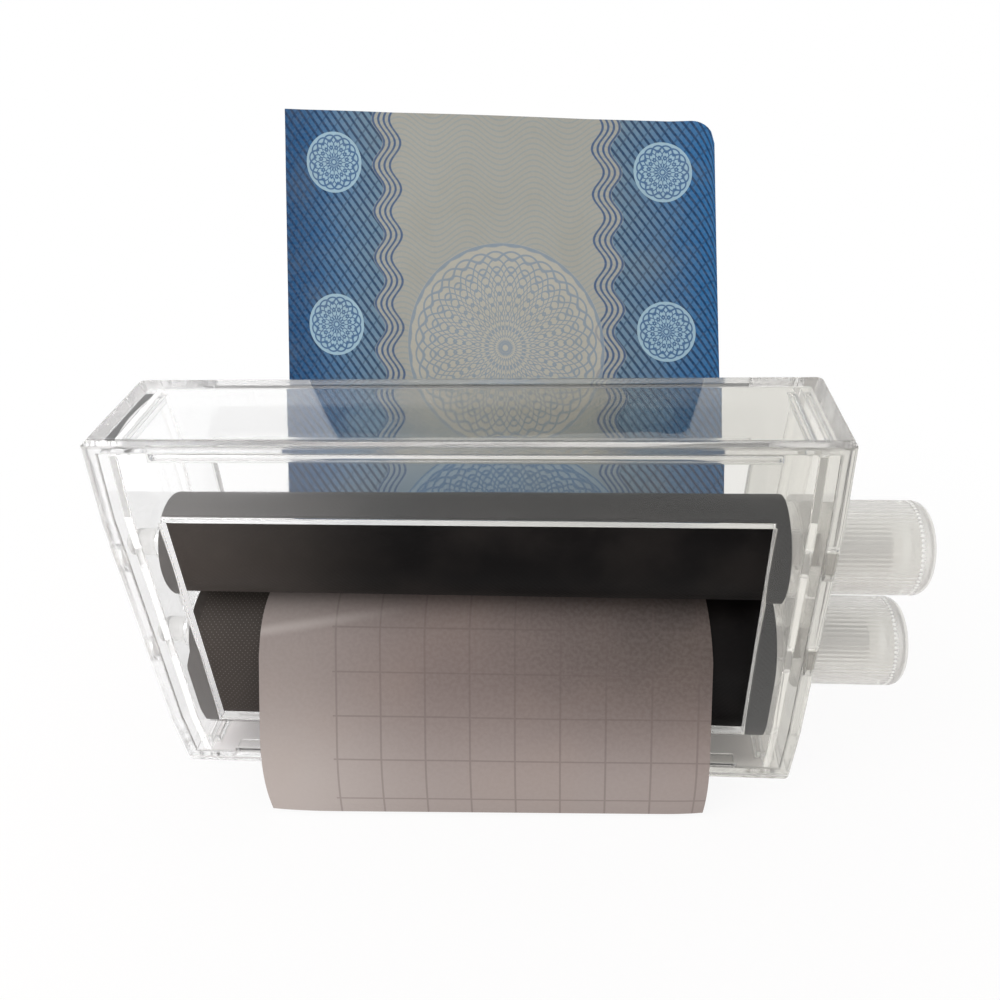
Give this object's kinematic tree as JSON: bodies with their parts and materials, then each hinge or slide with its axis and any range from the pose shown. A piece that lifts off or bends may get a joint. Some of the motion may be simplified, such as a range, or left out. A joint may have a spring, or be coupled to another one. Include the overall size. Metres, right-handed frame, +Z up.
{
  "type": "toy money printer",
  "caption": "Clear case on its long edge with two knob-turned rollers wound with black cloth, a blank squared slip in front and a play note leaving at the back.",
  "frame": {"origin": "middle of the flat face the case stands on", "axes": "+X along the rollers towards the knobs, +Y from front to back, +Z up"},
  "size_m": [0.1206, 0.0674, 0.0941],
  "materials": {
    "clear_case": "clear polished polystyrene",
    "clear_knob": "clear polystyrene with fine flutes",
    "black_cloth": "thin black woven nylon with a soft sheen",
    "core_tube": "extruded tube",
    "tape": "adhesive tape",
    "squared_paper": "copy paper with a faint 7 mm grid",
    "note_paper": null
  },
  "bodies": {
    "case": {"rear_case": "clear_case", "front_cover": "clear_case", "left_bearing_plate": "clear_case", "right_bearing_plate": "clear_case", "cloth_loop": "black_cloth", "blank_slip": "squared_paper", "play_note": "note_paper"},
    "upper_roller": {"upper_core_tube": "core_tube", "upper_journal": "clear_case", "upper_drive_shaft": "clear_case", "upper_cloth_tape": "tape", "upper_cloth_roll": "black_cloth", "upper_knob": "clear_knob"},
    "lower_roller": {"lower_core_tube": "core_tube", "lower_journal": "clear_case", "lower_drive_shaft": "clear_case", "lower_cloth_tape": "tape", "lower_cloth_roll": "black_cloth", "lower_knob": "clear_knob"}
  },
  "joints": [
    {"name": "upper_turn", "type": "hinge", "parent": "case", "child": "upper_roller", "pos_m": [0, 0, 0.0397], "axis": [1, 0, 0], "range_deg": [-2610, 1530]},
    {"name": "lower_turn", "type": "hinge", "parent": "case", "child": "lower_roller", "pos_m": [0, 0, 0.0215], "axis": [1, 0, 0], "range_deg": [-1440, 2430]}
  ],
  "couplings": [
    {"joint": "lower_turn", "follows": "upper_turn", "ratio": -0.9266}
  ]
}
